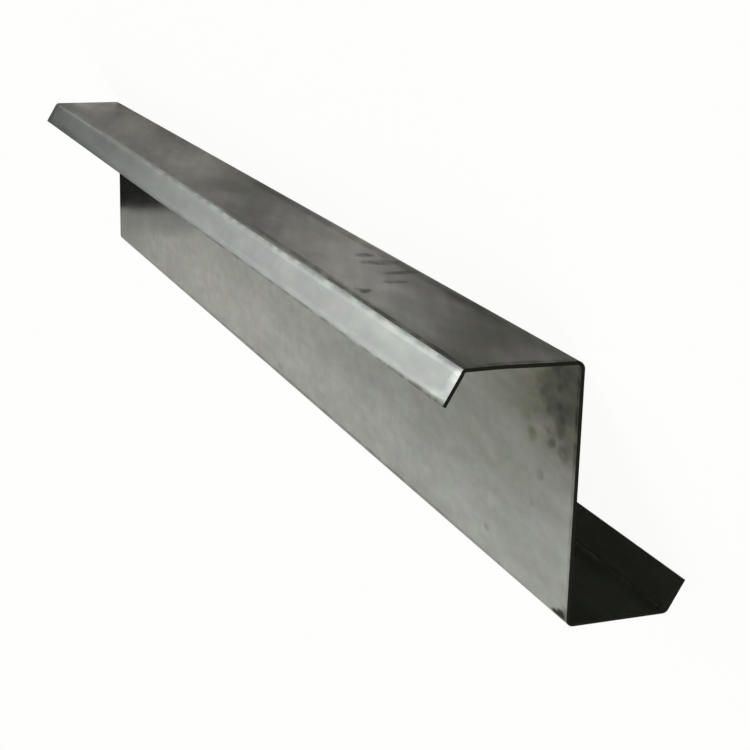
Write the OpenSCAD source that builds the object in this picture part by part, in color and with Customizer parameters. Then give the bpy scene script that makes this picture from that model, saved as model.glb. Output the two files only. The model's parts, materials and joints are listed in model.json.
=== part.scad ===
// Z-section purlin of cold-formed galvanised steel: one strip of sheet, folded four times.
// The length runs along Y. It lies as a loose length does, on the round of the bend between web and
// broad flange and on the free edge of the narrow flange's lip, because a Z-section with its broad
// flange uppermost doesn't stand on its narrow one.

/* [Section] */
// Depth of the web, over both flanges
web_depth = 140; // [100:1:300]
// Width of the broad flange, from the web's far face to the sharp corner at its lip
broad_flange_w = 64; // [45:1:110]
// Width of the narrow flange, from the web's far face to the sharp corner at its lip
narrow_flange_w = 58; // [40:1:100]
// Width of both lips, along the outside from that corner to the free edge
lip_w = 20; // [12:1:30]
// Angle that each lip is folded by, from the plane of its flange
lip_angle = 60; // [45:1:90]

/* [Sheet] */
// Thickness of the sheet, with its zinc
sheet_t = 2; // [1.2:0.1:3.2]
// Inner radius of the four bends
bend_r = 2; // [1:0.5:6]

/* [Stock] */
// Length of the piece, between its square sheared ends
stock_length = 1000; // [300:10:6000]

/* [Hidden] */

steel_colour = [0.55, 0.55, 0.54];
web_fold = 90;
outer_r = bend_r + sheet_t;
arc_step = 6;

function direction(angle) = [cos(angle), sin(angle)];
function reversed(points) = [for (i = [len(points) - 1 : -1 : 0]) points[i]];

// Points round an arc, from its first to its last angle, both included.
function arc(centre, r, first, last) =
    let (steps = ceil((last - first) / arc_step))
    [for (i = [0 : steps]) centre + r * direction(first + (last - first) * i / steps)];

// Half of the upright section, from the middle of the web at the origin down to its foot, along the
// flange towards +X and up its lip. The outside of a bend faces down and away from the flange's side.
web_bend = [outer_r - sheet_t / 2, outer_r - web_depth / 2];
function lip_bend(flange_w) = [
    flange_w - sheet_t / 2 - outer_r * tan(lip_angle / 2),
    outer_r - web_depth / 2
];
function lip_edge(flange_w) = [
    flange_w - sheet_t / 2 + lip_w * cos(lip_angle),
    lip_w * sin(lip_angle) - web_depth / 2
];

flange_facing = -90;
lip_facing = flange_facing + lip_angle;

// The side of the sheet that has this radius at both bends.
function half_side(flange_w, r) = concat(
    arc(web_bend, r, flange_facing - web_fold, flange_facing),
    arc(lip_bend(flange_w), r, flange_facing, lip_facing),
    [lip_edge(flange_w) + (r - outer_r) * direction(lip_facing)]
);
function half_outline(flange_w) = concat(
    half_side(flange_w, outer_r),
    reversed(half_side(flange_w, bend_r))
);

// The other half is this one turned about the middle of the web, which takes the web's bend to the
// top. On the floor lie the round of that bend and the narrow flange's lip. Seen from the bend's
// centre, floor_facing is the way down, as an angle in the upright section.
broad_bend = -web_bend;
footing = lip_edge(narrow_flange_w) - broad_bend;
floor_facing = atan2(footing.y, footing.x) + acos(outer_r / norm(footing));
floor_depth = direction(floor_facing) * broad_bend + outer_r;

// The two lip bends reach furthest sideways, equally far from the web but for their flanges' widths.
off_centre = sin(floor_facing) * (broad_flange_w - narrow_flange_w) / 2;

// The section upright, with the broad flange at the top.
module section() {
    polygon(concat(
        half_outline(narrow_flange_w),
        [for (point = half_outline(broad_flange_w)) -point]
    ));
}

module z_purlin() {
    color(steel_colour)
        rotate([90, 0, 0])
        linear_extrude(height = stock_length, center = true)
        translate([-off_centre, floor_depth])
        rotate(-90 - floor_facing)
        section();
}

z_purlin();
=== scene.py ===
"""A length of Z-section purlin, cold folded from galvanised sheet, lying as it rests on a floor."""

import json
import math

import bpy
import numpy as np
from mathutils import Matrix, Vector


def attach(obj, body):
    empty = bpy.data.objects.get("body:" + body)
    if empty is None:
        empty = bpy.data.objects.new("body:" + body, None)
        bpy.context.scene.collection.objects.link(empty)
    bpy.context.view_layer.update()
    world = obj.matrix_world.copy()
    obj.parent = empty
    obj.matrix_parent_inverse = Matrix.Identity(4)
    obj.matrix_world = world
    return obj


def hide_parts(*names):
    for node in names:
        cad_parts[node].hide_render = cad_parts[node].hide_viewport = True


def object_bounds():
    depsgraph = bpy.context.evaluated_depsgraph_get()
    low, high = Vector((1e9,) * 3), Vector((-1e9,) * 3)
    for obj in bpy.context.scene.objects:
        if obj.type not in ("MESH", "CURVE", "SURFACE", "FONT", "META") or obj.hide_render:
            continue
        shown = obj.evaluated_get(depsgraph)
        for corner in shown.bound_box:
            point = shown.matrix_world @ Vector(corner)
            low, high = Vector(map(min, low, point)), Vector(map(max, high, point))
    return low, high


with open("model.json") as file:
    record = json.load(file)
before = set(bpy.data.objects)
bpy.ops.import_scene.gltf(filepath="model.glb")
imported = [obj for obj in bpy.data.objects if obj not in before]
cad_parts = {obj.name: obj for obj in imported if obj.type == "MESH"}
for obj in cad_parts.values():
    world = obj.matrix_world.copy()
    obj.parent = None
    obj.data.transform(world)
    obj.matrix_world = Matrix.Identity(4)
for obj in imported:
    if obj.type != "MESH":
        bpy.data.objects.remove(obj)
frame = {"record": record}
cad_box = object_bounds()

# ---------------------------------------------------------------------------------------------
# How the purlin lies
# It rests on the bend of its broad flange and the edge of its narrow lip, so its web leans.
# The flat faces that it is fastened by say which way its section points.
# ---------------------------------------------------------------------------------------------

MM = 0.001
mounts = {mount["name"]: mount for mount in frame["record"]["mounts"]}
web_side = Vector(mounts["web_inner_face"]["axis"]).normalized()
flange_up = Vector(mounts["broad_flange_face"]["axis"]).normalized()
inner_face, outer_face = [Vector(mounts[name]["pos_m"]) for name in ("web_inner_face", "web_outer_face")]
web_middle = (inner_face + outer_face) / 2
near_end = cad_box[0][1]
far_end = cad_box[1][1]

# ---------------------------------------------------------------------------------------------
# Folded sheet
# The real purlin is one strip of hot-dip galvanised steel, 2 mm thick, slit from a coil and cold
# folded between rolls: a lip, a flange, the web, the other flange and its lip. Nothing is fixed to it.
# ---------------------------------------------------------------------------------------------

SHEET = 2.0 * MM
BEND_INSIDE = 2.0 * MM
WEB_DEPTH = 140 * MM
BROAD_FLANGE = 64 * MM
NARROW_FLANGE = 58 * MM
LIP = 20 * MM
LIP_FOLD = math.radians(60)
WEB_FOLD = math.radians(90)
EDGE_ROUND = 0.35 * MM                # how far a sheared edge is rounded over
BEND_STEP = math.radians(7.5)
FLAT_STEP = 8 * MM
LENGTH_STEP = 20 * MM
BESIDE_BEND = 0.4 * MM                # a narrow facet beside each bend keeps the flats flat in the light
EDGE_STEPS = 4


def taken_by(fold):
    """What a bend takes off the flat beside it: outside radius times the tangent of half the fold."""
    return (BEND_INSIDE + SHEET) * math.tan(fold / 2)


def bend_run(fold):
    """Length of a bend along the middle of the sheet: middle radius times the fold."""
    return (BEND_INSIDE + SHEET / 2) * fold


# The strip from the broad lip's edge to the narrow lip's: each stretch's length and turn.
lip_flat = LIP - taken_by(LIP_FOLD)
broad_flat = BROAD_FLANGE - taken_by(LIP_FOLD) - taken_by(WEB_FOLD)
web_flat = WEB_DEPTH - 2 * taken_by(WEB_FOLD)
narrow_flat = NARROW_FLANGE - taken_by(LIP_FOLD) - taken_by(WEB_FOLD)
lengths = np.array([lip_flat, bend_run(LIP_FOLD), broad_flat, bend_run(WEB_FOLD), web_flat,
                    bend_run(WEB_FOLD), narrow_flat, bend_run(LIP_FOLD), lip_flat])
turns = np.array([0, -LIP_FOLD, 0, -WEB_FOLD, 0, WEB_FOLD, 0, LIP_FOLD, 0])
WEB_STRETCH = 4

starts = np.concatenate([[0], np.cumsum(lengths)])
strip = starts[-1]

# The near end was cut out of square on the broad flange's side. It runs in this far at the lip's slit
# edge, on both sides of the lip's bend, at two places across the flange, beside the web's bend and at
# the web.
CUT_ACROSS = [0, starts[1], starts[2], starts[2] + 20 * MM, starts[3] - 18 * MM, starts[3], starts[4]]
CUT_IN = [1.8 * MM, 1.8 * MM, 3.6 * MM, 4.2 * MM, 2.0 * MM, 0.8 * MM, 0]

# Where each stretch begins in the section, with the web's middle at its origin.
headings = LIP_FOLD + np.concatenate([[0], np.cumsum(turns)])
chords = lengths * np.sinc(turns / 2 / np.pi)
chord_headings = headings[:-1] + turns / 2
steps = chords[:, None] * np.stack([np.cos(chord_headings), np.sin(chord_headings)], axis=1)
corners = np.concatenate([[[0, 0]], np.cumsum(steps, axis=0)])
corners = corners - (corners[WEB_STRETCH] + corners[WEB_STRETCH + 1]) / 2


def folded(run, rise):
    """Where points of the flat strip, run across it and rise above its middle, lie once it is folded.

    Along a stretch the heading turns evenly. The chord from the stretch's start goes along the mean
    of both headings and is shorter than the run by sin(half turn) / (half turn), and the rise is
    laid off square to the heading there. The result is across and up in the section's own axes.
    """
    which = np.clip(np.searchsorted(starts, run, side="right") - 1, 0, len(lengths) - 1)
    part = run - starts[which]
    half_turn = turns[which] * part / lengths[which] / 2
    chord = part * np.sinc(half_turn / np.pi)
    toward = headings[which] + half_turn
    heading = toward + half_turn
    across = corners[which, 0] + chord * np.cos(toward) - rise * np.sin(heading)
    up = corners[which, 1] + chord * np.sin(toward) + rise * np.cos(heading)
    return across, up


def facets():
    """Distances across the strip where its facets meet: close in the bends and just beside them."""
    cuts = []
    for start, length, turn in zip(starts, lengths, turns):
        pieces = max(math.ceil(abs(turn) / BEND_STEP), math.ceil(length / FLAT_STEP))
        cuts.append(np.linspace(start, start + length, pieces + 1))
    beside = np.concatenate([starts[1:-1] - BESIDE_BEND * (turns[:-1] == 0),
                             starts[1:-1] + BESIDE_BEND * (turns[1:] == 0)])
    inner = np.unique(np.concatenate(cuts + [beside]).round(9))
    return inner[(inner > 2 * EDGE_ROUND) & (inner < strip - 2 * EDGE_ROUND)]


def flat_outline(inset):
    """The strip's cut end as a loop of runs and rises: a rectangle with quarter-round corners.

    One half of the loop goes across the upper skin from edge to edge and the other half is its
    mirror image, gone back. The inset draws the whole loop in, where the end's own edge is rounded.
    """
    half = SHEET / 2 - inset
    quarter = np.linspace(0, math.pi / 2, EDGE_STEPS + 1)
    out = EDGE_ROUND * (1 - np.sin(quarter))
    down = EDGE_ROUND * (1 - np.cos(quarter))
    skin = facets()
    run = np.concatenate([inset + out[::-1], skin, strip - inset - out])
    rise = half - np.concatenate([down[::-1], 0 * skin, down])
    return np.concatenate([run, run[::-1]]), np.concatenate([rise, -rise[::-1]])


def lengthwise():
    """Places along the purlin and their insets: a quarter circle at each end and even steps between."""
    quarter = np.linspace(0, math.pi / 2, EDGE_STEPS + 1)
    place = near_end + EDGE_ROUND * (1 - np.cos(quarter))
    inset = EDGE_ROUND * (1 - np.sin(quarter))
    steps = math.ceil((far_end - near_end) / LENGTH_STEP)
    between = np.linspace(near_end + 2 * EDGE_ROUND, far_end - 2 * EDGE_ROUND, steps)
    return (np.concatenate([place, between, near_end + far_end - place[::-1]]),
            np.concatenate([inset, 0 * between, inset[::-1]]))


def carry_profile(name):
    """The folded profile carried along the length, its two cut ends closed by a ladder of facets.

    The near end is out of square: its points move in by the cut's own depth there, and the points
    between the ends move less and less towards the far end, which stays square.
    """
    place, inset = lengthwise()
    loops = [flat_outline(one) for one in inset]
    run = np.stack([loop[0] for loop in loops])
    rise = np.stack([loop[1] for loop in loops])
    across, up = folded(run, rise)
    fading = (far_end - place) / (far_end - near_end)
    skew = np.interp(run, CUT_ACROSS, CUT_IN) * fading[:, None]
    along = place[:, None] + skew
    points = (np.array(web_middle) - across[..., None] * np.array(web_side)
              + up[..., None] * np.array(flange_up) + along[..., None] * np.array([0, 1, 0]))
    rows, around = run.shape
    index = np.arange(rows * around).reshape(rows, around)
    turned = np.roll(index, -1, axis=1)
    sides = np.stack([index[:-1], turned[:-1], turned[1:], index[1:]], axis=-1).reshape(-1, 4)
    rung = np.arange(around // 2 - 1)
    cap = np.stack([rung, around - 1 - rung, around - 2 - rung, rung + 1], axis=-1)
    faces = np.concatenate([sides, cap, cap[:, ::-1] + index[-1, 0]])
    mesh = bpy.data.meshes.new(name)
    mesh.from_pydata(points.reshape(-1, 3).tolist(), [], faces.tolist())
    return mesh, place, run, rise, sides, cap


sheet_mesh, place, run, rise, sides, cap = carry_profile("z_purlin_sheet")
sheet = bpy.data.objects.new("z_purlin_sheet", sheet_mesh)
bpy.context.scene.collection.objects.link(sheet)

# Where each corner of each facet lies on the unrolled strip, in metres: across it, out over the first
# skin and back over the second, and along it from the near end. The colours and marks follow this map.
both_skins = 2 * strip
over_skins = np.where(rise >= 0, run, both_skins - run)
unrolled = np.stack([over_skins, place[:, None] - near_end + 0 * run], axis=-1).reshape(-1, 2)
corner_vertex = np.empty(len(sheet_mesh.loops), dtype=np.int32)
sheet_mesh.loops.foreach_get("vertex_index", corner_vertex)
strip_map = sheet_mesh.uv_layers.new(name="strip")
strip_map.data.foreach_set("uv", unrolled[corner_vertex].astype(np.float32).ravel())

# The two skins and the long slit edges take the first material, and the two sheared ends the second.
rows, around = run.shape
cut_end = np.abs(rise).max(axis=1) < SHEET / 2 - EDGE_ROUND / 100
side_material = np.repeat((cut_end[:-1] | cut_end[1:]).astype(np.int32), around)
material_index = np.concatenate([side_material, np.ones(2 * len(cap), dtype=np.int32)])
sheet_mesh.polygons.foreach_set("material_index", material_index)
sheet_mesh.polygons.foreach_set("use_smooth", np.ones(len(material_index), dtype=bool))
sheet_mesh.update()


def srgb(code):
    """Linear red, green, blue and a full alpha for an sRGB hex colour."""
    parts = [int(code[at:at + 2], 16) / 255 for at in (1, 3, 5)]
    linear = [part / 12.92 if part <= 0.04045 else ((part + 0.055) / 1.055) ** 2.4 for part in parts]
    return linear + [1.0]


def node(tree, kind, inputs=None, **settings):
    """Adds a node of that kind with its settings, and links or sets its inputs.

    An input given a socket is linked to it, one given a node is linked to that node's first output,
    and any other is set to its value.
    """
    made = tree.nodes.new(kind)
    for setting, value in settings.items():
        setattr(made, setting, value)
    for socket, value in (inputs or {}).items():
        if isinstance(value, bpy.types.Node):
            value = value.outputs[0]
        if isinstance(value, bpy.types.NodeSocket):
            tree.links.new(value, made.inputs[socket])
        else:
            made.inputs[socket].default_value = value
    return made


def new_material(name):
    """A material with an empty node tree."""
    material = bpy.data.materials.new(name)
    material.use_nodes = True
    material.node_tree.nodes.clear()
    return material, material.node_tree


# Faces of the unrolled strip: where each begins and ends, where its marks are measured from and which
# way, and the colour of its zinc, a little different on each; the narrow flange's much darker colour is
# a painted shade. The lips' colours end within their bends, and the broad flange's in the middle of the
# web's bend.
lip_line = starts[2] - 1.1 * MM
broad_bend = (starts[3] + starts[4]) / 2
narrow_lip_line = starts[7] + 2.3 * MM
FACES = {
    "lip": (0, lip_line, 0, 1, "#929490"),
    "broad flange": (lip_line, broad_bend, starts[2], 1, "#989692"),
    "back of the web": (broad_bend, starts[5], starts[4], 1, "#a2a29c"),
    # the narrow flange's much darker zinc is a painted shade
    "narrow flange": (starts[5], narrow_lip_line, starts[6], 1, "#686a60"),
    "narrow lip": (narrow_lip_line, strip, starts[8], 1, "#a6a89c"),
    "under the narrow flange": (strip, both_skins - starts[6], both_skins - starts[8], -1, "#a2a29c"),
    "web": (both_skins - starts[6], both_skins - broad_bend, both_skins - starts[4], -1, "#a0a19a"),
    "under the broad flange": (both_skins - broad_bend, both_skins,
                               both_skins - starts[3], -1, "#989693"),
}

# Marks on a face: what kind each is, where it lies across the face and along it from the near end,
# how far it reaches from there both ways, in millimetres, its slant in degrees, and how many stops it
# brightens or dulls the zinc. A cloud fades out all the way from its middle. The rest are broken up
# in patches: a blotch fades like a cloud, a wipe and a line are even in their middle, and a line's
# outline hardly wanders.
MARKS = {
    "lip": [
        ("cloud", 12, 660, 18, 230, 0, -0.30),
        ("cloud", 16, 750, 12, 180, 0, -0.35),
        ("cloud", 16, 180, 12, 300, 0, 0.15),
        ("cloud", 8, 970, 24, 120, 0, 0.40),
        ("line", 18.0, 140, 2.4, 420, 0, 0.28),         # painted highlight along the fold
        ("line", 19.3, 140, 1.5, 420, 0, 0.45),
        ("line", 19.2, 640, 1.6, 420, 0, 0.30),
        ("line", 3.2, 340, 2, 560, 0, 0.13),            # and a painted highlight along the slit edge
        ("cloud", 3, 12, 4, 16, 0, 0.35),
        ("line", 0.3, 200, 1.3, 420, 0, -0.60),         # the slitter's dark burr
        ("line", 0.6, 20, 2.0, 70, 0, -0.70),
        ("line", 0.8, 3, 2.6, 12, 0, -1.20),
        ("wipe", 9, 2, 16, 9, 0, 0.52),                 # a painted highlight where the end was sheared
        ("line", 10, 1000, 16, 15, 0, -0.50),           # and dark along the far cut
    ],
    "broad flange": [
        ("cloud", 25, 45, 38, 90, 27, -0.85),           # the dull near corner
        ("cloud", 5, 5, 24, 40, 0, -0.60),
        ("cloud", 39, 262, 50, 190, 17, 0.95),          # a painted reflection, bright on a slant
        ("cloud", 45, 385, 20, 70, 10, 0.30),
        ("cloud", 10, 385, 24, 150, 14, -0.75),         # a darker band of the painted reflection beside it
        ("cloud", 24, 515, 30, 60, 5, -0.65),
        ("blotch", 36, 490, 20, 30, 0, -0.35),
        ("cloud", 8, 600, 13, 450, 0, -0.42),
        ("cloud", 44, 630, 40, 150, 12, 0.55),          # bright again further along
        ("cloud", 44, 850, 32, 110, 15, 0.50),
        ("cloud", 14, 890, 30, 190, 14, -1.00),         # and dull towards the far end
        ("cloud", 6, 955, 16, 90, 0, -1.20),
        ("cloud", 20, 985, 16, 40, 0, 0.30),
        # smaller patches of the same painted reflection
        ("cloud", 50, 345, 12, 60, 0, 0.25),
        ("cloud", 52, 500, 10, 70, 0, -0.30),
        ("cloud", 48, 930, 14, 30, 0, 0.35),
        ("cloud", 42, 980, 20, 25, 0, -0.60),
        ("cloud", 3, 40, 8, 110, 0, -0.35),
        ("cloud", 54, 118, 8, 60, 0, -0.80),
        ("cloud", 54, 25, 8, 50, 0, -0.35),
        ("cloud", 16, 250, 40, 110, 0, -0.30),
        ("cloud", 31, 165, 14, 34, 0, 0.30),
        ("cloud", 8, 840, 34, 300, 0, -0.38),
        ("line", 0.6, 40, 2.1, 270, 0, -1.50),          # a painted dark reflection along the fold
        ("line", 2.8, 250, 2.4, 120, 0, -0.45),
        ("line", 3.0, 430, 3.0, 420, 0, -0.35),
        # a painted highlight in the fold further along
        ("line", -0.9, 640, 1.0, 380, 0, 0.45),
        # darker beside the web's bend
        ("line", 54, 300, 3.5, 330, 0, -0.42),
        ("line", 30, 1.5, 40, 5.5, 0, -0.85),           # and along both cuts
        ("line", 28, 1000, 45, 11, 0, -0.60),
        ("wipe", 10, 162, 4.5, 7.5, 25, -1.15),         # a dried drop and its tail
        ("wipe", 8, 168, 3, 5, 0, -0.60),
        ("wipe", 34.5, 179, 10, 6.5, 5, -0.85),         # strokes of a dirty rag
        ("wipe", 46, 201.5, 14, 6, 0, -0.95),
        ("wipe", 46, 231, 16, 9.5, 8, -1.35),
        ("wipe", 43, 252.5, 7.5, 8, 4, -1.50),
        ("wipe", 15, 261, 8, 5, 0, -0.25),
    ],
    "web": [
        ("cloud", 4, 8, 56, 56, 0, -2.10),              # darker at the near corner, under the flange
        ("blotch", 28, 24, 44, 60, 0, -0.55),
        ("cloud", 22, 62, 38, 80, 0, -0.74),
        ("cloud", 43, 5, 12, 16, 0, -0.35),
        ("cloud", 50, 90, 70, 260, 0, -0.55),           # darker towards the near end
        ("cloud", 58, 8, 16, 20, 0, -0.18),
        ("cloud", 115, 550, 50, 520, 0, 0.28),          # painted light, brighter along the foot
        ("cloud", 80, 830, 24, 220, 12, -0.62),         # a painted dark reflection, a wedge under the flange towards the far end
        ("cloud", 78, 770, 16, 120, 11, -0.40),
        ("cloud", 100, 925, 14, 120, 12, -0.20),
        ("cloud", 90, 915, 9, 120, 13, -0.60),
        ("cloud", 88, 925, 8, 60, 13, -0.70),
        ("cloud", 118, 985, 42, 120, 0, -0.75),
        ("cloud", 106, 900, 40, 160, 0, -0.24),
        # darker in two long patches
        ("cloud", 78, 300, 44, 300, 0, -0.18),
        ("cloud", 26, 370, 20, 160, 0, -0.30),
        ("line", 60, 0, 90, 4.4, 0, -0.45),             # dull along both cuts
        ("line", 16, 0, 50, 5.0, 0, -0.70),
        ("line", 70, 1000, 100, 10, 0, -1.00),
        ("line", 132.4, 500, 1.6, 520, 0, -0.60),       # and along the foot
        ("wipe", 35.5, 17.5, 7.5, 8, 0, -1.00),         # specks and runs of dirt
        ("wipe", 37, 17, 6, 6, 0, -0.70),
        ("cloud", 18, 27, 12, 14, 0, 0.35),
        ("cloud", 13, 13, 9, 13, 0, 0.35),
        ("wipe", 15.5, 21, 4, 5, 0, -0.50),
        ("wipe", 15.5, 38.5, 8, 12, 0, -0.40),
        ("wipe", 24, 38, 5, 7, 0, -0.45),
        ("wipe", 8.5, 14.5, 6, 7, 0, -0.35),
        ("wipe", 25, 20.5, 3, 5, 0, -0.35),
        ("wipe", 9, 28, 5, 9, 0, -0.40),
        ("wipe", 48.5, 13.5, 6, 8, 0, -0.50),
        ("wipe", 46.5, 26.5, 4, 7, 15, -0.50),
        ("wipe", 40.5, 32, 2.5, 5, 0, -0.35),
        ("cloud", 43, 41, 10, 18, 0, 0.40),
        ("cloud", 36, 29, 7, 10, 0, 0.30),
        ("wipe", 4, 24, 4, 6, 0, -0.50),
        ("wipe", 31, 33, 4, 5, 0, -0.30),
        ("wipe", 48, 50, 5, 8, 0, -0.55),
        ("wipe", 67, 38, 4, 6, 0, -0.45),
        ("wipe", 85, 45, 3, 5, 0, -0.15),
        ("wipe", 117.5, 98, 3, 5, 15, -0.45),
        ("wipe", 127, 468, 4, 8, 0, -0.30),
        ("cloud", 130, 3, 5, 7, 0, -1.00),              # a black smear at the foot's corner
        ("wipe", 131.3, 6.5, 3, 6, 0, -2.20),
        ("wipe", 133.0, 12, 2.4, 6.5, 0, -2.20),
    ],
    "narrow flange": [
        # painted light deeper along the hollow, and painted shade at its open near end
        ("cloud", 28, 110, 90, 130, 0, 0.95),
        ("cloud", 28, 0, 90, 40, 0, -0.40),
        ("line", 53, 120, 5, 130, 0, 0.36),             # painted light in the fold
        ("line", 53.3, 120, 1.5, 130, 0, 0.62),
    ],
    "narrow lip": [
        # painted light deeper along the hollow, and painted shade at its open near end
        ("cloud", 8, 110, 60, 130, 0, 1.10),
        ("cloud", 8, 0, 60, 40, 0, -0.40),
        # darker beside the fold
        ("line", -0.6, 120, 1.6, 130, 0, -0.25),
    ],
}

DULL_SKIN = 0.37                      # roughness of the first skin, rolled dull
BRIGHT_SKIN = 0.21                    # and of the second, nearly bright, in the web's hollow
HUE_PATCHES = 0.15                    # how much greener or pinker patches of the zinc may be
OLIVE_TONE_FROM, OLIVE_TONE_FULL = -0.1, -1.5     # tones, in stops, between which dirt and painted shade turn olive
OLIVE_ENDS_AT = 300 * MM                 # beyond this far along, no dark tone turns olive
OLIVE_FULL_TO = 100 * MM                   # and up to here a dark tone turns olive in full


def galvanised_skin():
    """Hot-dip galvanised steel with a minimised spangle: a dull zinc grey, faintly mottled and stained,
    with painted highlights, shade and reflections.

    Its tone is worked out in stops, from which the zinc's own colour is doubled or halved.
    """
    material, tree = new_material("hot_dip_galvanised_steel")
    on_strip = node(tree, "ShaderNodeUVMap", uv_map="strip").outputs["UV"]
    place = node(tree, "ShaderNodeSeparateXYZ", {0: on_strip}).outputs
    across, along = place["X"], place["Y"]

    def lumps(wide, long, slant=0.0, detail=2.0):
        """Soft random lumps, so many millimetres wide across the strip and long along it, on a slant."""
        where = node(tree, "ShaderNodeMapping", {
            "Vector": on_strip, "Rotation": (0, 0, -math.radians(slant)),
            "Scale": (wide * MM, long * MM, 1)}, vector_type="TEXTURE")
        return node(tree, "ShaderNodeTexNoise", {"Vector": where, "Scale": 1.0, "Detail": detail})

    def mottle(stops, *size, **look):
        """Such lumps as a tone: up to so many stops brighter and duller."""
        return node(tree, "ShaderNodeMapRange", {
            "Value": lumps(*size, **look), "From Min": 0.3, "From Max": 0.7,
            "To Min": -stops, "To Max": stops})

    # the outlines of the marks wander, and all marks but clouds are broken up
    wander = node(tree, "ShaderNodeVectorMath", {
        0: lumps(12, 30, detail=3.0).outputs["Color"], 1: (0.5, 0.5, 0.5)}, operation="SUBTRACT")
    broken = node(tree, "ShaderNodeMapRange", {
        "Value": lumps(10, 22), "From Min": 0.40, "From Max": 0.60, "To Min": 0.4, "To Max": 1.3})

    def wandered(reach):
        """The strip map, shifted about by less than half of reach, in millimetres."""
        moved = node(tree, "ShaderNodeVectorMath", {0: wander, "Scale": reach * MM}, operation="SCALE")
        return node(tree, "ShaderNodeVectorMath", {0: on_strip, 1: moved}, operation="ADD")

    # the share of a mark that is its even middle, and the map that its outline wanders with
    kinds = {"cloud": (0.0, wandered(10)), "blotch": (0.0, wandered(16)),
             "wipe": (0.3, wandered(5)), "line": (0.5, wandered(0.8))}

    def marked(face, total):
        """A face's mottle and all its marks: slanted ovals, soft from their even middle outwards."""
        start, way = FACES[face][2:4]
        for kind, across_mm, along_mm, across_reach, along_reach, slant, stops in MARKS[face]:
            even, where = kinds[kind]
            oval = node(tree, "ShaderNodeMapping", {
                "Vector": where,
                "Location": (start + way * across_mm * MM, along_mm * MM, 0),
                "Rotation": (0, 0, -way * math.radians(slant)),
                "Scale": (across_reach * MM, along_reach * MM, 1)}, vector_type="TEXTURE")
            within = node(tree, "ShaderNodeTexGradient", {"Vector": oval}, gradient_type="SPHERICAL")
            mark = node(tree, "ShaderNodeMapRange", {
                "Value": within.outputs["Fac"], "From Max": 1.0 - even, "To Max": stops},
                interpolation_type="SMOOTHSTEP")
            if kind != "cloud":
                mark = node(tree, "ShaderNodeMath", {0: mark, 1: broken}, operation="MULTIPLY")
            total = node(tree, "ShaderNodeMath", {0: total, 1: mark}, operation="ADD")
        return total

    # a cloudy mottle from the zinc bath lies all over, drawn out along the way that the strip was
    # rolled, the broad flange has fine slanted streaks of painted reflection, and the web is flecked
    tone = node(tree, "ShaderNodeMath", {0: mottle(0.10, 30, 90), 1: mottle(0.11, 9, 30, detail=3.0)},
                operation="ADD")
    face_mottle = {"broad flange": mottle(0.18, 7, 90, slant=20, detail=3.0), "web": mottle(0.07, 7, 10)}
    for face in MARKS:
        low, high = FACES[face][:2]
        on_face = node(tree, "ShaderNodeMath", {0: across, 1: (low + high) / 2, 2: (high - low) / 2},
                       operation="COMPARE")
        face_tone = marked(face, face_mottle.get(face, 0.0))
        tone = node(tree, "ShaderNodeMath", {0: on_face, 1: face_tone, 2: tone},
                    operation="MULTIPLY_ADD")

    # each face has a zinc colour of its own, the narrow flange's a painted shade, brightened or dulled
    # by the tone
    share = node(tree, "ShaderNodeMath", {0: across, 1: both_skins}, operation="DIVIDE")
    zinc = node(tree, "ShaderNodeValToRGB", {"Fac": share})
    zinc.color_ramp.interpolation = "CONSTANT"
    bands = zinc.color_ramp.elements
    while len(bands) < len(FACES):
        bands.new(1.0)
    for band, (low, *_, colour) in zip(bands, FACES.values()):
        band.position = low / both_skins
        band.color = srgb(colour)
    gain = node(tree, "ShaderNodeMath", {0: 2.0, 1: tone}, operation="POWER")
    toned = node(tree, "ShaderNodeVectorMath", {0: zinc, "Scale": gain}, operation="SCALE")

    # its grey is a little greener or pinker in patches
    patches = node(tree, "ShaderNodeVectorMath", {0: wander, "Scale": HUE_PATCHES}, operation="SCALE")
    toned = node(tree, "ShaderNodeVectorMath", {0: toned, 1: patches, 2: toned},
                 operation="MULTIPLY_ADD")

    # beyond the lip it yellows very slightly towards the far end
    # (a colour mix takes its share at input 0 and its two colours at 6 and 7)
    past_lip = node(tree, "ShaderNodeMath", {0: across, 1: lip_line}, operation="GREATER_THAN")
    age = node(tree, "ShaderNodeMath", {0: along, 1: past_lip}, operation="MULTIPLY")
    ageing = node(tree, "ShaderNodeMix", {0: age, 6: srgb("#fbfdff"), 7: srgb("#fffdf9")},
                  data_type="RGBA")
    toned = node(tree, "ShaderNodeVectorMath", {0: toned, 1: ageing.outputs[2]}, operation="MULTIPLY")

    # and on the near end its dark tones, dirt and painted shade alike, turn a dull olive
    dark = node(tree, "ShaderNodeMapRange", {
        "Value": tone, "From Min": OLIVE_TONE_FROM, "From Max": OLIVE_TONE_FULL})
    near = node(tree, "ShaderNodeMapRange", {
        "Value": along, "From Min": OLIVE_ENDS_AT, "From Max": OLIVE_FULL_TO})
    dirt_and_shade = node(tree, "ShaderNodeMath", {0: dark, 1: near}, operation="MULTIPLY")
    olive = node(tree, "ShaderNodeMix", {0: dirt_and_shade, 6: srgb("#ffffff"), 7: srgb("#fffeec")},
                 data_type="RGBA")
    toned = node(tree, "ShaderNodeVectorMath", {0: toned, 1: olive.outputs[2]}, operation="MULTIPLY")

    # the two skins differ in roughness, and both brighten less at a glancing angle than bare metal does
    second_skin = node(tree, "ShaderNodeMath", {0: across, 1: strip}, operation="GREATER_THAN")
    roughness = node(tree, "ShaderNodeMapRange", {
        "Value": second_skin, "To Min": DULL_SKIN, "To Max": BRIGHT_SKIN})
    shader = node(tree, "ShaderNodeBsdfPrincipled", {
        "Base Color": toned, "Metallic": 1.0, "Roughness": roughness, "Specular Tint": srgb("#c8c8c8")})
    node(tree, "ShaderNodeOutputMaterial", {"Surface": shader})
    return material


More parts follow.
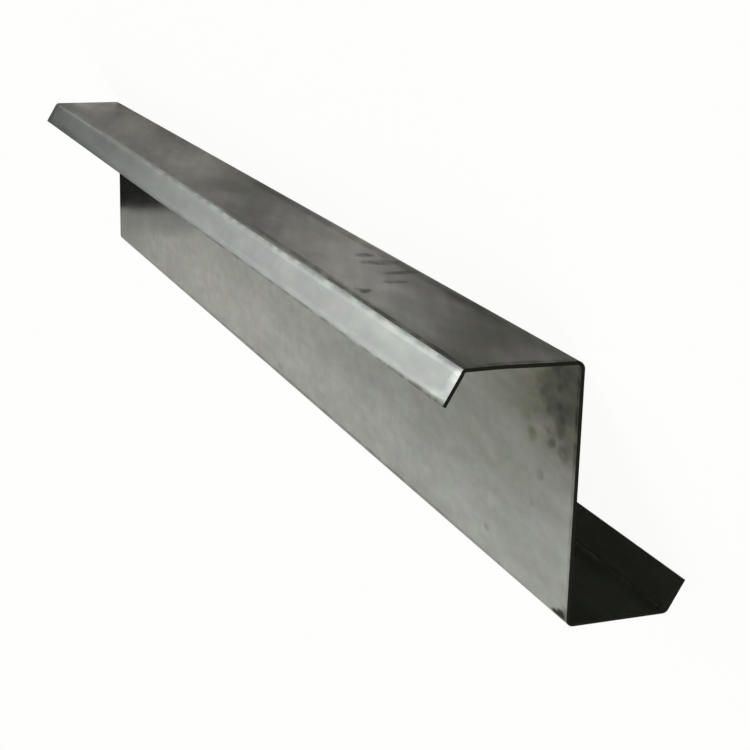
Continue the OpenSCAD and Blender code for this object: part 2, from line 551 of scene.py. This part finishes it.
def sheared_edge():
    """Steel sheared after it was coated: a dark, rough break with no zinc on it."""
    material, tree = new_material("sheared_steel_edge")
    shader = node(tree, "ShaderNodeBsdfPrincipled", {
        "Base Color": srgb("#22221d"), "Metallic": 1.0, "Roughness": 0.55})
    node(tree, "ShaderNodeOutputMaterial", {"Surface": shader})
    return material


sheet_mesh.materials.append(galvanised_skin())
sheet_mesh.materials.append(sheared_edge())
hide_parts("z_purlin")
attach(sheet, "root")

# ---------------------------------------------------------------------------------------------
# Floor and light
# A plain white studio floor under a white dome, with two broad soft lamps: one low beyond the far
# end and one high up on the other side.
# ---------------------------------------------------------------------------------------------

FLOOR_HALF = 150.0
STUDIO_WHITE = "#fefefc"
SHADOW_SHARE = 0.04                   # how much of the floor's own shading the picture keeps
OPEN_FROM, OPEN_TO = 0.8, 3.0         # metres out over which reflections of the floor turn plain white
WHITE_CLOSE_BY = 0.03                 # share of plain white in reflections nearer than that
DOME_FILL = 0.55                      # light that the white surroundings give matt surfaces

floor_corners = [(-FLOOR_HALF, -FLOOR_HALF, 0), (FLOOR_HALF, -FLOOR_HALF, 0),
                 (FLOOR_HALF, FLOOR_HALF, 0), (-FLOOR_HALF, FLOOR_HALF, 0)]
floor_mesh = bpy.data.meshes.new("studio_floor")
floor_mesh.from_pydata(floor_corners, [], [(0, 1, 2, 3)])
floor = bpy.data.objects.new("studio_floor", floor_mesh)
bpy.context.scene.collection.objects.link(floor)


def studio_floor():
    """Matt white studio board, near white with a pale shadow to the eye, and white in reflections.

    Close to the purlin reflections keep the board's real shading, and far off they see plain white.
    """
    material, tree = new_material("white_studio_board")
    rays = node(tree, "ShaderNodeLightPath").outputs
    place = node(tree, "ShaderNodeTexCoord").outputs["Object"]
    away = node(tree, "ShaderNodeVectorMath", {0: place}, operation="LENGTH").outputs["Value"]
    open_floor = node(tree, "ShaderNodeMapRange", {
        "Value": away, "From Min": OPEN_FROM, "From Max": OPEN_TO, "To Min": WHITE_CLOSE_BY})
    mirrored = node(tree, "ShaderNodeMath", {
        0: rays["Is Glossy Ray"], 1: rays["Is Transmission Ray"]}, operation="MAXIMUM")
    mirrored = node(tree, "ShaderNodeMath", {0: mirrored, 1: open_floor}, operation="MULTIPLY")
    lifted = node(tree, "ShaderNodeMath", {
        0: rays["Is Camera Ray"], 1: 1 - SHADOW_SHARE, 2: mirrored}, operation="MULTIPLY_ADD")
    matt = node(tree, "ShaderNodeBsdfDiffuse", {"Color": srgb(STUDIO_WHITE)})
    white = node(tree, "ShaderNodeEmission", {"Color": srgb(STUDIO_WHITE), "Strength": 1.0})
    board = node(tree, "ShaderNodeMixShader", {0: lifted, 1: matt, 2: white})
    node(tree, "ShaderNodeOutputMaterial", {"Surface": board})
    return material


floor_mesh.materials.append(studio_floor())

# The dome is plain white to the eye and in reflections, and dimmer where it lights matt surfaces.
world = bpy.data.worlds.new("white_dome")
bpy.context.scene.world = world
world.use_nodes = True
dome = world.node_tree
dome.nodes.clear()
rays = node(dome, "ShaderNodeLightPath").outputs
seen = node(dome, "ShaderNodeMath", {0: rays["Is Camera Ray"], 1: rays["Is Glossy Ray"]},
            operation="ADD")
seen = node(dome, "ShaderNodeMath", {0: seen, 1: rays["Is Transmission Ray"]},
            operation="ADD", use_clamp=True)
strength = node(dome, "ShaderNodeMapRange", {"Value": seen, "To Min": DOME_FILL, "To Max": 1.0})
white = node(dome, "ShaderNodeBackground", {"Color": srgb(STUDIO_WHITE), "Strength": strength})
node(dome, "ShaderNodeOutputWorld", {"Surface": white})


def soft_sun(name, azimuth, height, width, strength):
    """Hangs up a broad even lamp, width degrees across.

    From the purlin it is seen azimuth degrees to the right of the far end and height degrees up.
    """
    lamp = bpy.data.lights.new(name, "SUN")
    lamp.angle = math.radians(width)
    lamp.energy = strength
    hung = bpy.data.objects.new(name, lamp)
    bpy.context.scene.collection.objects.link(hung)
    turn = math.radians(azimuth)
    rise = math.radians(height)
    toward = Vector((math.sin(turn) * math.cos(rise), math.cos(turn) * math.cos(rise), math.sin(rise)))
    hung.rotation_euler = toward.to_track_quat("Z", "Y").to_euler()


soft_sun("broad_lamp", azimuth=38, height=27, width=36, strength=0.6)
soft_sun("top_lamp", azimuth=-60, height=70, width=60, strength=1.1)

# A matt black card stands aslant beyond the far end, and only reflections show it. It darkens what the
# far end of the lip mirrors, and the bright skin of the web shows its foot as a dark wedge under the
# flange. In millimetres, it runs between two places out from the web's middle on the hollow side, and
# at the web's middle it would stand so far beyond the far end. From there its slope brings it nearer.
CARD_FROM, CARD_TO = 5, 380
CARD_HEIGHT = 190
CARD_BEYOND = 188
CARD_SLOPE = 0.59


def card_corner(out, height):
    """A corner of the card: so far out from the web's middle, and so far above the web's foot."""
    beyond = CARD_BEYOND - CARD_SLOPE * out
    return (web_middle + out * MM * web_side + (height * MM - WEB_DEPTH / 2) * flange_up
            + Vector((0, far_end + beyond * MM, 0)))


card_corners = [card_corner(CARD_FROM, 0), card_corner(CARD_TO, 0),
                card_corner(CARD_TO, CARD_HEIGHT), card_corner(CARD_FROM, CARD_HEIGHT)]
card_mesh = bpy.data.meshes.new("black_card")
card_mesh.from_pydata(card_corners, [], [(0, 1, 2, 3)])
card = bpy.data.objects.new("black_card", card_mesh)
bpy.context.scene.collection.objects.link(card)
black, tree = new_material("black_card")
matt = node(tree, "ShaderNodeBsdfDiffuse", {"Color": srgb("#202020")})
node(tree, "ShaderNodeOutputMaterial", {"Surface": matt})
card_mesh.materials.append(black)
card.visible_camera = False
card.visible_diffuse = False
card.visible_shadow = False

# ---------------------------------------------------------------------------------------------
# Camera
# It stands before the near end, out from the web's hollow side and above its middle, and is rolled
# over with the web, so that the section stands upright in the picture.
# ---------------------------------------------------------------------------------------------

CAMERA_OUT, CAMERA_ABOVE, CAMERA_BEFORE = 386.0 * MM, 291.6 * MM, 708.8 * MM
AIM_BELOW, AIM_BEYOND = 14.1 * MM, 276.7 * MM
LEAN = math.radians(-1.48)            # roll about the line of sight, on top of the web's own lean

camera_data = bpy.data.cameras.new("camera")
camera_data.sensor_width = 36
camera_data.lens = 82.47
camera = bpy.data.objects.new("camera", camera_data)
bpy.context.scene.collection.objects.link(camera)
bpy.context.scene.camera = camera

position = (web_middle + CAMERA_OUT * web_side + CAMERA_ABOVE * flange_up
            + Vector((0, near_end - CAMERA_BEFORE, 0)))
target = web_middle - AIM_BELOW * flange_up + Vector((0, near_end + AIM_BEYOND, 0))
forward = (target - position).normalized()
level = forward.cross(flange_up).normalized()
upright = level.cross(forward)
above = upright * math.cos(LEAN) + level * math.sin(LEAN)
right = level * math.cos(LEAN) - upright * math.sin(LEAN)
camera.matrix_world = Matrix((right, above, -forward)).transposed().to_4x4()
camera.location = position

bpy.context.scene.view_settings.view_transform = "Standard"
